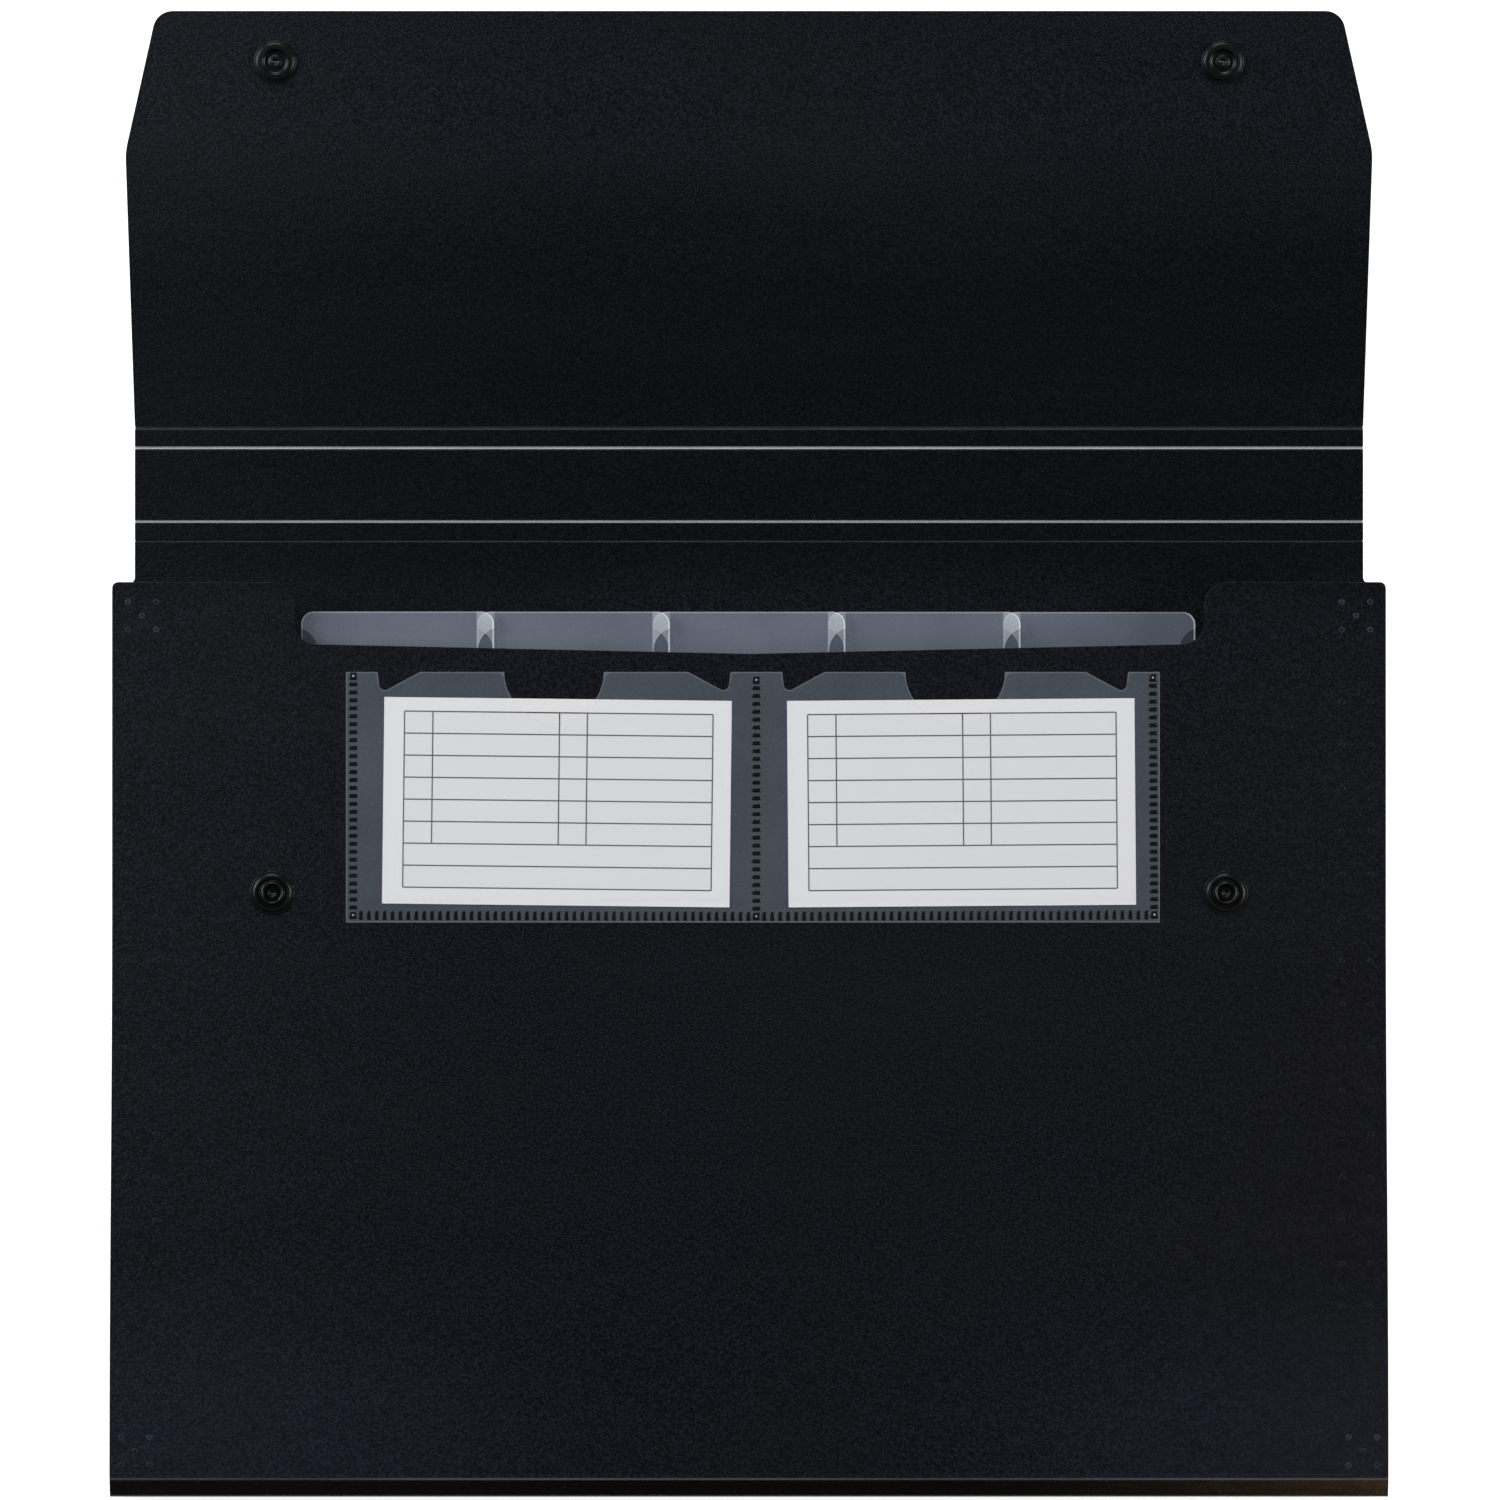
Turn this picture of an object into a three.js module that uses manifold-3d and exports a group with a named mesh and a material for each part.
// An expanding file folder in millimetres, lying on its back with the closing flap open.
// X runs across the folder, Y from its bottom towards the flap, Z up from the surface it lies on.
// While the pieces are made, Y is counted from the bottom crease of the front panel and Z from the back face.
// The finished folder is then centred over the origin.
import * as THREE from "three";
import { mergeVertices } from "three/addons/utils/BufferGeometryUtils.js";
import Module from "manifold-3d";

const wasm = await Module();
wasm.setup();

const radians = THREE.MathUtils.degToRad;

// Outer sheet: one creased sheet of black polypropylene
const sheet = 0.9;
const panelWidth = 330;
const panelHeight = 232.4;
const panelCorner = 1.5;
const bodyDepth = 21.5;
const bottomStrip = 5.2;
const bottomSlope = radians(24);

// Finger notch in the top edge of the front panel
const notchCheek = 46.9;
const notchDepth = 16;
const notchSag = 2.6;
const notchMouthRadius = 5.6;
const notchFootRadius = 6;
const notchStraight = 24;

// Neck, fold strips, spine and flap beyond the body
const neckInset = 4.8;
const neckLength = 10.9;
const foldStrip = 5.2;
const creaseGap = 0.3;
const rearStripAngle = radians(35);
const spineAngle = radians(45);
const frontStripAngle = radians(55);
const flapAngle = radians(45);
const flapLength = 108.7;
const flapInset = 2.4;
const flapTaper = 36.7;
const flapTipInset = 10.6;
const flapCorner = 5.2;
const flapSideRadius = 20;
const shutGap = 3.17;

// Snap fasteners
const snapSideInset = 41.5;
const snapTipInset = 13.3;
const snapRadius = 6;
const snapSeatGap = 0.1;
const snapClearance = 0.2;
const snapWaist = 0.3;
const pinRadius = 1.5;
const pinHoleClearance = 0.3;
const pinHeadRadius = 2;
const pinHeadHeight = 0.5;
const pinDimpleRadius = 0.8;
const pinDimpleDepth = 0.3;
const capHeight = 1.2;
const capRim = 0.4;
const capFlat = 4.8;
const socketFloor = 0.5;
const socketFlange = 0.7;
const socketRingOuter = 4.9;
const socketRingInner = 3.2;
const studFlange = 1;
const studFloor = 0.5;
const studRingWall = 0.6;
const edgeRound = 0.2;

// Divider sheets with index tabs, and the label sleeves over the tabs
const dividerCount = 5;
const dividerThickness = 0.4;
const dividerDrop = 5.8;
const frontPocketDepth = 4.4;
const rearPocketDepth = 4.5;
const tabWidth = 50;
const tabRowMargin = 1.9;
const tabRise = 11;
const tabCorner = 3.2;
const tabFootRadius = 4;
const sleeveThickness = 0.25;
const sleeveGap = 0.05;
const sleeveShoulder = 10.2;
const sleeveArc = 6.2;
const sleeveArcOut = 2;
const sleeveLength = 17;

// Pleated side gussets
const gussetFilm = 0.3;
const gussetEdgeInset = 1;
const pleatDepth = 13.5;
const pleatFold = 0.6;
const gussetTopInset = 2;
const wallClearance = 0.3;
const gussetSeatGap = 0.1;

// Clear film with two card pockets on the front panel
const pocketLeftGap = 13.1;
const pocketRightGap = 11.1;
const pocketHeight = 64.9;
const pocketBelowNotch = 4.7;
const pocketFilm = 0.25;
const pocketCavity = 0.45;
const pocketCorner = 0.4;
const pocketSideRail = 3.2;
const pocketMiddleRail = 3.4;
const middleRailShift = 0.9;
const pocketBottomRail = 3.4;
const thumbRadius = 12.9;
const cornerCutInset = 5;
const cornerCutDepth = 5.6;
const cornerCutRun = 11;
const cornerCutRound = 1.5;
const cornerCutSplay = 0.6;

// Index cards in the pockets
const cardSlack = 9.6;
const cardHeight = 53.5;
const cardThickness = 0.3;
const cardCorner = 0.5;
const cardRestGap = 0.5;
const cardLeftTilt = radians(-0.66);
const cardRightTilt = radians(0.45);
const cardLeftShift = 0.75;
const cardRightShift = 1.65;

// Facets in a quarter of a small round, and steps round a turned piece
const arcSteps = 4;
const turnSteps = 40;

// How far a cutting tool reaches past the sheet it cuts
const cutReach = 2;

// Values that follow from the sizes above
const frontInner = bodyDepth - sheet;
const bottomRun = bottomStrip * Math.cos(bottomSlope);
const bottomRise = bottomStrip * Math.sin(bottomSlope);
const halfPanel = panelWidth / 2;
const halfNeck = halfPanel - neckInset;
const halfNotch = halfPanel - notchCheek;
const halfSnapSpread = halfPanel - snapSideInset;
const notchFoot = panelHeight - notchDepth;
const notchSagArc = halfNotch - notchFootRadius - notchStraight;
const notchSagRadius = (notchSagArc * halfNotch) / notchSag;
const rearHinge = panelHeight + neckLength;
const spineHinge = rearHinge + foldStrip;

// The spine is as long as the shut folder needs for its flap to lie shutGap above the front panel
const leanSpine = rearStripAngle + spineAngle;
const leanStrip = leanSpine + frontStripAngle;
const shutFlapHeight = bodyDepth + shutGap + sheet;
const stripClimb = foldStrip * (Math.sin(rearStripAngle) + Math.sin(leanStrip));
const spineLength = (shutFlapHeight - stripClimb) / Math.sin(leanSpine);
const frontHinge = spineHinge + spineLength;
const flapHinge = frontHinge + foldStrip;

// Where the flap's hinge line lies when the folder is shut, and so where its snaps meet the front panel
const stripReach = foldStrip * (Math.cos(rearStripAngle) + Math.cos(leanStrip));
const shutFlapHinge = rearHinge + stripReach + spineLength * Math.cos(leanSpine);
const snapFromFlapHinge = flapLength - snapTipInset;
const frontSnapHeight = shutFlapHinge - snapFromFlapHinge;

// The open flap rests on its two caps, so it leans up a little from its hinge line
const flapLift = Math.atan2(capHeight, snapFromFlapHinge - capFlat);

// Working heights inside the snaps
const pinHole = pinRadius + pinHoleClearance;
const socketHeight = shutGap - studFlange - 2 * snapSeatGap - snapClearance;
const studHeight = shutGap - socketFloor - 2 * snapSeatGap - snapClearance;
const studRingOuter = socketRingInner - snapWaist;
const studRingInner = studRingOuter - studRingWall;

// Divider stack: equal pockets between a front pocket and a rear pocket
const dividerTopFace = frontInner - frontPocketDepth;
const dividerLowFace = sheet + rearPocketDepth;
const dividerSpan = dividerTopFace - dividerLowFace - dividerThickness;
const dividerPitch = dividerSpan / (dividerCount - 1);
const gussetOuter = halfPanel - gussetEdgeInset;
const gussetInner = gussetOuter - pleatDepth;
const halfDivider = gussetInner - gussetFilm / 2 - wallClearance;
const dividerBottom = -bottomRun + sheet + wallClearance;
const notchLowest = notchFoot - notchSag;
const dividerTop = notchLowest - dividerDrop;
const tabTop = notchLowest + tabRise;
const tabRow = 2 * (halfNotch - tabRowMargin);
const tabPitch = (tabRow - tabWidth) / (dividerCount - 1);

// Card pocket levels and places
const pocketTop = notchLowest - pocketBelowNotch;
const pocketBottom = pocketTop - pocketHeight;
const pocketLeft = -halfSnapSpread + snapRadius + pocketLeftGap;
const pocketRight = halfSnapSpread - snapRadius - pocketRightGap;
const middleRail = (pocketLeft + pocketRight) / 2 + middleRailShift;
const cavityFloor = pocketBottom + pocketBottomRail;
const leftCavity = [pocketLeft + pocketSideRail, middleRail - pocketMiddleRail / 2];
const rightCavity = [middleRail + pocketMiddleRail / 2, pocketRight - pocketSideRail];
const cardWidth = rightCavity[1] - rightCavity[0] - cardSlack;

// Materials
function plastic(color, roughness) {
  return new THREE.MeshStandardMaterial({ color, roughness, metalness: 0 });
}

function film(color, opacity) {
  const material = plastic(color, 0.35);
  material.transparent = true;
  material.opacity = opacity;
  return material;
}

const sheetMaterial = () => plastic(0x1b1c21, 0.6);
const gussetMaterial = () => plastic(0x15161a, 0.5);
const snapMaterial = () => plastic(0x0c0d10, 0.2);
const dividerMaterial = () => film(0x9298a6, 0.6);
const sleeveMaterial = () => film(0xc3cad6, 0.5);
const pocketMaterial = () => film(0x8d97a4, 0.4);
const cardMaterial = () => plastic(0xd4d5d9, 0.8);

// Geometry and solids
function toSolid(geometry) {
  const bare = geometry.index ? geometry.toNonIndexed() : geometry.clone();
  bare.deleteAttribute("normal");
  bare.deleteAttribute("uv");
  const merged = mergeVertices(bare, 1e-4);
  const index = merged.index.array;
  const kept = [];
  for (let i = 0; i < index.length; i += 3) {
    const corners = [index[i], index[i + 1], index[i + 2]];
    if (new Set(corners).size === 3) kept.push(...corners);
  }
  const vertProperties = merged.attributes.position.array;
  const triVerts = new Uint32Array(kept);
  return new wasm.Manifold(new wasm.Mesh({ numProp: 3, vertProperties, triVerts }));
}

function toGeometry(solid) {
  const mesh = solid.getMesh();
  const geometry = new THREE.BufferGeometry();
  geometry.setAttribute("position", new THREE.BufferAttribute(mesh.vertProperties, 3));
  geometry.setIndex(new THREE.BufferAttribute(mesh.triVerts, 1));
  const faceted = geometry.toNonIndexed();
  faceted.computeVertexNormals();
  return faceted;
}

function named(name, geometry, material) {
  const mesh = new THREE.Mesh(geometry, material);
  mesh.name = name;
  return mesh;
}

// A closed outline through [x, y, radius] corners, taken anticlockwise, each rounded by an arc of its radius
function roundedOutline(corners) {
  const shape = new THREE.Shape();
  const count = corners.length;
  corners.forEach(([x, y, radius = 0], i) => {
    const [beforeX, beforeY] = corners[(i + count - 1) % count];
    const [afterX, afterY] = corners[(i + 1) % count];
    const corner = new THREE.Vector2(x, y);
    const into = new THREE.Vector2(x - beforeX, y - beforeY).normalize();
    const away = new THREE.Vector2(afterX - x, afterY - y).normalize();
    const turn = Math.atan2(into.cross(away), into.dot(away));
    if (radius === 0 || turn === 0) {
      if (i === 0) shape.moveTo(x, y);
      else shape.lineTo(x, y);
      return;
    }
    const setback = radius * Math.tan(Math.abs(turn) / 2);
    const start = corner.clone().addScaledVector(into, -setback);
    const side = Math.sign(turn);
    const centre = start.clone().add(new THREE.Vector2(-into.y, into.x).multiplyScalar(side * radius));
    const from = Math.atan2(start.y - centre.y, start.x - centre.x);
    if (i === 0) shape.moveTo(start.x, start.y);
    else shape.lineTo(start.x, start.y);
    shape.absarc(centre.x, centre.y, radius, from, from + turn, turn < 0);
  });
  shape.closePath();
  return shape;
}

function plate(shape, bottom, thickness, curveSegments = arcSteps) {
  const options = { depth: thickness, bevelEnabled: false, curveSegments };
  return new THREE.ExtrudeGeometry(shape, options).translate(0, 0, bottom);
}

function polygon(points) {
  return new THREE.Shape(points.map(([x, y]) => new THREE.Vector2(x, y)));
}

// A section drawn as [y, z] points and carried along X
function alongX(points, fromX, toX) {
  const turn = new THREE.Matrix4().makeBasis(
    new THREE.Vector3(0, 1, 0),
    new THREE.Vector3(0, 0, 1),
    new THREE.Vector3(1, 0, 0),
  );
  return plate(polygon(points), fromX, toX - fromX).applyMatrix4(turn);
}

// A section drawn as [z, x] points and carried along Y
function alongY(points, fromY, toY) {
  const turn = new THREE.Matrix4().makeBasis(
    new THREE.Vector3(0, 0, 1),
    new THREE.Vector3(1, 0, 0),
    new THREE.Vector3(0, 1, 0),
  );
  return plate(polygon(points), fromY, toY - fromY).applyMatrix4(turn);
}

function block(fromX, toX, fromY, toY, fromZ, toZ) {
  const geometry = new THREE.BoxGeometry(toX - fromX, toY - fromY, toZ - fromZ);
  return geometry.translate((fromX + toX) / 2, (fromY + toY) / 2, (fromZ + toZ) / 2);
}

function rod(x, y, radius, fromZ, toZ, steps = 24) {
  const geometry = new THREE.CylinderGeometry(radius, radius, toZ - fromZ, steps);
  return geometry.rotateX(Math.PI / 2).translate(x, y, (fromZ + toZ) / 2);
}

// A piece turned about Z from [radius, height] points that start and end on the axis, or close on themselves
function turned(profile) {
  const points = profile.map(([radius, height]) => new THREE.Vector2(radius, height));
  const geometry = new THREE.LatheGeometry(points, turnSteps).rotateX(Math.PI / 2);
  return toGeometry(toSolid(geometry));
}

// The points of a path moved sideways by a distance, to its left where the distance is positive
function offsetPath(path, distance) {
  return path.map((point, i) => {
    const here = new THREE.Vector2(...point);
    const before = new THREE.Vector2(...(path[i - 1] ?? point));
    const after = new THREE.Vector2(...(path[i + 1] ?? point));
    const into = here.clone().sub(before).normalize();
    const away = after.sub(here).normalize();
    if (i === 0) into.copy(away);
    if (i === path.length - 1) away.copy(into);
    const side = new THREE.Vector2(-into.y - away.y, into.x + away.x).normalize();
    const reach = distance / (side.x * -into.y + side.y * into.x);
    return [here.x + side.x * reach, here.y + side.y * reach];
  });
}

// Outer sheet, fixed part: front panel, folded bottom and back panel
function makeOuterShell() {
  const outside = [
    [panelHeight, bodyDepth],
    [0, bodyDepth],
    [-bottomRun, bodyDepth - bottomRise],
    [-bottomRun, bottomRise],
    [0, 0],
    [rearHinge - creaseGap / 2, 0],
  ];
  const inside = offsetPath(outside, sheet);
  inside[inside.length - 1][0] -= sheet * Math.tan(rearStripAngle / 2);
  const section = [...outside, ...inside.reverse()];
  let solid = toSolid(alongX(section, -halfPanel, halfPanel));

  const above = panelHeight + cutReach;
  const beside = halfPanel + cutReach;
  const trimStart = panelHeight - panelCorner - cutReach;
  const topEdge = [
    [beside, above],
    [beside, trimStart],
    [halfPanel, trimStart],
    [halfPanel, panelHeight, panelCorner],
    [halfNotch, panelHeight, notchMouthRadius],
    [halfNotch, notchFoot, notchFootRadius],
  ];
  const leftEdge = topEdge.map(([x, y, radius]) => [-x, y, radius]);
  const lowest = [0, notchLowest, notchSagRadius];
  const frontTrim = roundedOutline([...leftEdge, lowest, ...topEdge.slice().reverse()]);
  const frontCut = toSolid(plate(frontTrim, frontInner - cutReach, sheet + 2 * cutReach));
  solid = solid.subtract(frontCut);

  for (const side of [-1, 1]) {
    const corners = [
      [side * beside, rearHinge + cutReach],
      [side * beside, trimStart],
      [side * halfPanel, trimStart],
      [side * halfPanel, panelHeight, panelCorner],
      [side * halfNeck, panelHeight, panelCorner],
      [side * halfNeck, rearHinge + cutReach],
    ];
    if (side > 0) corners.reverse();
    const cut = toSolid(plate(roundedOutline(corners), -cutReach, sheet + 2 * cutReach));
    solid = solid.subtract(cut);
    const x = side * halfSnapSpread;
    const hole = rod(x, frontSnapHeight, pinHole, frontInner - cutReach, bodyDepth + cutReach);
    solid = solid.subtract(toSolid(hole));
  }
  return named("outer_shell", toGeometry(solid), sheetMaterial());
}

// A flat strip between two creases, with its edges bevelled so that it can fold by the angle at each side
function stripSection(start, end, startAngle, endAngle) {
  return [
    [start + creaseGap / 2, 0],
    [end - creaseGap / 2, 0],
    [end - creaseGap / 2 - sheet * Math.tan(endAngle / 2), sheet],
    [start + creaseGap / 2 + sheet * Math.tan(startAngle / 2), sheet],
  ];
}

function makeStrip(name, start, end, startAngle, endAngle) {
  const section = stripSection(start, end, startAngle, endAngle);
  return named(name, alongX(section, -halfNeck, halfNeck), sheetMaterial());
}

// Closing flap, in its own frame with Y counted from its hinge line
function makeFlap() {
  const outline = roundedOutline([
    [-halfNeck, 0],
    [halfNeck, 0],
    [halfPanel - flapInset, flapLength - flapTaper, flapSideRadius],
    [halfPanel - flapTipInset, flapLength, flapCorner],
    [-halfPanel + flapTipInset, flapLength, flapCorner],
    [-halfPanel + flapInset, flapLength - flapTaper, flapSideRadius],
  ]);
  const section = stripSection(0, flapLength + cutReach, flapAngle, 0);
  let solid = toSolid(plate(outline, -cutReach, sheet + 2 * cutReach));
  solid = solid.intersect(toSolid(alongX(section, -halfPanel, halfPanel)));
  for (const side of [-1, 1]) {
    const x = side * halfSnapSpread;
    solid = solid.subtract(toSolid(rod(x, snapFromFlapHinge, pinHole, -cutReach, sheet + cutReach)));
  }
  return named("closing_flap", toGeometry(solid), sheetMaterial());
}

// Snap pieces, each turned about its own axis with the face of the sheet at height 0

// Cap with its pin: the dome lies on the far side of the sheet and the pin ends in a flattened head
function makeCap(floor) {
  const under = -snapSeatGap;
  const head = sheet + snapSeatGap + floor;
  return turned([
    [0, -capHeight],
    [capFlat, -capHeight],
    [snapRadius, -capHeight + capRim],
    [snapRadius + edgeRound, under - edgeRound],
    [snapRadius, under],
    [pinRadius, under],
    [pinRadius, head + snapSeatGap],
    [pinHeadRadius, head + snapSeatGap],
    [pinHeadRadius, head + pinHeadHeight - edgeRound],
    [pinHeadRadius - edgeRound, head + pinHeadHeight],
    [pinDimpleRadius, head + pinHeadHeight],
    [pinDimpleRadius - edgeRound, head + pinHeadHeight - pinDimpleDepth],
    [0, head + pinHeadHeight - pinDimpleDepth],
  ]);
}

function makeSocket() {
  return turned([
    [pinHole, 0],
    [snapRadius, 0],
    [snapRadius, socketFlange - edgeRound],
    [snapRadius - edgeRound, socketFlange],
    [socketRingOuter, socketFlange],
    [socketRingOuter, socketHeight - edgeRound],
    [socketRingOuter - edgeRound, socketHeight],
    [socketRingInner + edgeRound, socketHeight],
    [socketRingInner, socketHeight - edgeRound],
    [socketRingInner, socketFloor],
    [pinHole, socketFloor],
    [pinHole, 0],
  ]);
}

function makeStud() {
  return turned([
    [pinHole, 0],
    [snapRadius, 0],
    [snapRadius, studFlange - edgeRound],
    [snapRadius - edgeRound, studFlange],
    [studRingOuter, studFlange],
    [studRingOuter, studHeight - edgeRound],
    [studRingOuter - edgeRound, studHeight],
    [studRingInner + edgeRound, studHeight],
    [studRingInner, studHeight - edgeRound],
    [studRingInner, studFloor],
    [pinHole, studFloor],
    [pinHole, 0],
  ]);
}

function makeFlapSnap(sideName, x) {
  const socket = named(`flap_socket_${sideName}`, makeSocket(), snapMaterial());
  socket.position.set(x, snapFromFlapHinge, sheet + snapSeatGap);
  const cap = named(`flap_cap_${sideName}`, makeCap(socketFloor), snapMaterial());
  cap.position.set(x, snapFromFlapHinge, 0);
  return [socket, cap];
}

function makeFrontSnap(sideName, x) {
  const stud = named(`front_stud_${sideName}`, makeStud(), snapMaterial());
  stud.position.set(x, frontSnapHeight, bodyDepth + snapSeatGap);
  const cap = named(`front_cap_${sideName}`, makeCap(studFloor), snapMaterial());
  cap.position.set(x, frontSnapHeight, frontInner);
  return [stud, cap];
}

// Divider sheet with its tab, and the clear sleeve that lies on the tab
function makeDivider(order) {
  const face = dividerTopFace - dividerThickness - order * dividerPitch;
  const tabLeft = -tabRow / 2 + order * tabPitch;
  const tabRight = tabLeft + tabWidth;
  const outline = roundedOutline([
    [-halfDivider, dividerBottom],
    [halfDivider, dividerBottom],
    [halfDivider, dividerTop],
    [tabRight, dividerTop, tabFootRadius],
    [tabRight, tabTop, tabCorner],
    [tabLeft, tabTop, tabCorner],
    [tabLeft, dividerTop, tabFootRadius],
    [-halfDivider, dividerTop],
  ]);
  const divider = named(`divider_${order + 1}`, plate(outline, face, dividerThickness), dividerMaterial());
  const sleeveFace = face + dividerThickness + sleeveGap;
  const sleeve = makeSleeve(`tab_label_${order + 1}`, tabLeft, tabRight, sleeveFace);
  return [divider, sleeve];
}

function makeSleeve(name, left, right, face) {
  const shoulder = tabTop - sleeveShoulder;
  const sweep = Math.acos(sleeveArcOut / sleeveArc);
  const bottom = tabTop - sleeveLength;
  const waist = sleeveArc - sleeveArcOut;
  const shape = new THREE.Shape();
  shape.moveTo(left + waist, bottom);
  shape.lineTo(right - waist, bottom);
  shape.absarc(right + sleeveArcOut, shoulder, sleeveArc, Math.PI, Math.PI - sweep, true);
  shape.lineTo(right, tabTop - tabCorner);
  shape.absarc(right - tabCorner, tabTop - tabCorner, tabCorner, 0, Math.PI / 2, false);
  shape.lineTo(left + tabCorner, tabTop);
  shape.absarc(left + tabCorner, tabTop - tabCorner, tabCorner, Math.PI / 2, Math.PI, false);
  shape.absarc(left - sleeveArcOut, shoulder, sleeveArc, sweep, 0, true);
  shape.closePath();
  return named(name, plate(shape, face, sleeveThickness), sleeveMaterial());
}

// Gusset: a film folded in and out between the front and back panels, with an inner fold at each divider
function makeGusset(name, side) {
  const half = pleatFold / 2;
  const seat = gussetSeatGap + gussetFilm / 2;
  const top = frontInner - seat;
  const low = sheet + seat;
  const path = [
    [top, gussetInner],
    [top, gussetOuter],
    [top - pleatFold, gussetOuter],
  ];
  for (let order = 0; order < dividerCount; order += 1) {
    const middle = dividerTopFace - dividerThickness / 2 - order * dividerPitch;
    path.push([middle + half, gussetInner], [middle - half, gussetInner]);
    const isLast = order === dividerCount - 1;
    const next = isLast ? low + half : middle - dividerPitch / 2;
    path.push([next + half, gussetOuter], [next - half, gussetOuter]);
  }
  path.push([low, gussetInner]);
  const placed = path.map(([z, x]) => [z, side * x]);
  const section = [...offsetPath(placed, gussetFilm / 2), ...offsetPath(placed, -gussetFilm / 2).reverse()];
  const geometry = alongY(section, wallClearance, panelHeight - gussetTopInset);
  return named(name, geometry, gussetMaterial());
}

// Clear film: raised over each card and sunk to its weld lines round three sides
function makeCardPocket() {
  const corners = [[pocketLeft, pocketBottom, pocketCorner]];
  corners.push([pocketRight, pocketBottom, pocketCorner]);
  corners.push([pocketRight, pocketTop, pocketCorner]);
  for (const [start, end] of [rightCavity, leftCavity]) {
    corners.push(
      [end - cornerCutInset, pocketTop],
      [end - cornerCutInset - cornerCutSplay, pocketTop - cornerCutDepth, cornerCutRound],
      [end - cornerCutInset - cornerCutRun, pocketTop],
      [start + cornerCutInset + cornerCutRun, pocketTop],
      [start + cornerCutInset + cornerCutSplay, pocketTop - cornerCutDepth, cornerCutRound],
      [start + cornerCutInset, pocketTop],
    );
  }
  corners.push([pocketLeft, pocketTop, pocketCorner]);
  let solid = toSolid(plate(roundedOutline(corners), bodyDepth, pocketCavity + pocketFilm));
  const roof = bodyDepth + pocketCavity;
  for (const [start, end] of [leftCavity, rightCavity]) {
    const cavity = block(start, end, cavityFloor, pocketTop + cutReach, bodyDepth - cutReach, roof);
    const thumb = rod((start + end) / 2, pocketTop, thumbRadius, roof - cutReach, roof + cutReach, 48);
    solid = solid.subtract(toSolid(cavity)).subtract(toSolid(thumb));
  }
  return named("card_pocket", toGeometry(solid), pocketMaterial());
}

function makeCard(name, [start, end], tilt, shift) {
  const outline = roundedOutline([
    [-cardWidth / 2, -cardHeight / 2, cardCorner],
    [cardWidth / 2, -cardHeight / 2, cardCorner],
    [cardWidth / 2, cardHeight / 2, cardCorner],
    [-cardWidth / 2, cardHeight / 2, cardCorner],
  ]);
  const card = named(name, plate(outline, 0, cardThickness), cardMaterial());
  const reach = (cardHeight * Math.cos(tilt) + cardWidth * Math.abs(Math.sin(tilt))) / 2;
  const clear = (pocketCavity - cardThickness) / 2;
  const x = (start + end) / 2 + shift;
  card.position.set(x, cavityFloor + cardRestGap + reach, bodyDepth + clear);
  card.rotation.z = tilt;
  return card;
}

// Assembly
const sides = [
  ["left", -1],
  ["right", 1],
];
const folder = new THREE.Group();
folder.add(makeOuterShell());
folder.add(makeStrip("rear_fold_strip", rearHinge, spineHinge, rearStripAngle, spineAngle));
folder.add(makeStrip("spine_panel", spineHinge, frontHinge, spineAngle, frontStripAngle));
folder.add(makeStrip("front_fold_strip", frontHinge, flapHinge, frontStripAngle, flapAngle));

const flap = new THREE.Group();
flap.add(makeFlap());
flap.position.set(0, flapHinge, 0);
flap.rotation.x = flapLift;
folder.add(flap);

for (const [sideName, side] of sides) {
  flap.add(...makeFlapSnap(sideName, side * halfSnapSpread));
  folder.add(...makeFrontSnap(sideName, side * halfSnapSpread));
  folder.add(makeGusset(`${sideName}_gusset`, side));
}
for (let order = 0; order < dividerCount; order += 1) {
  folder.add(...makeDivider(order));
}
folder.add(makeCardPocket());
folder.add(makeCard("card_left", leftCavity, cardLeftTilt, cardLeftShift));
folder.add(makeCard("card_right", rightCavity, cardRightTilt, cardRightShift));

// The origin is on the surface under the middle of the folder
const extent = new THREE.Box3().setFromObject(folder, true);
const middle = extent.getCenter(new THREE.Vector3());
folder.position.set(-middle.x, -middle.y, -extent.min.z);

const part = new THREE.Group();
part.add(folder);

export default part;
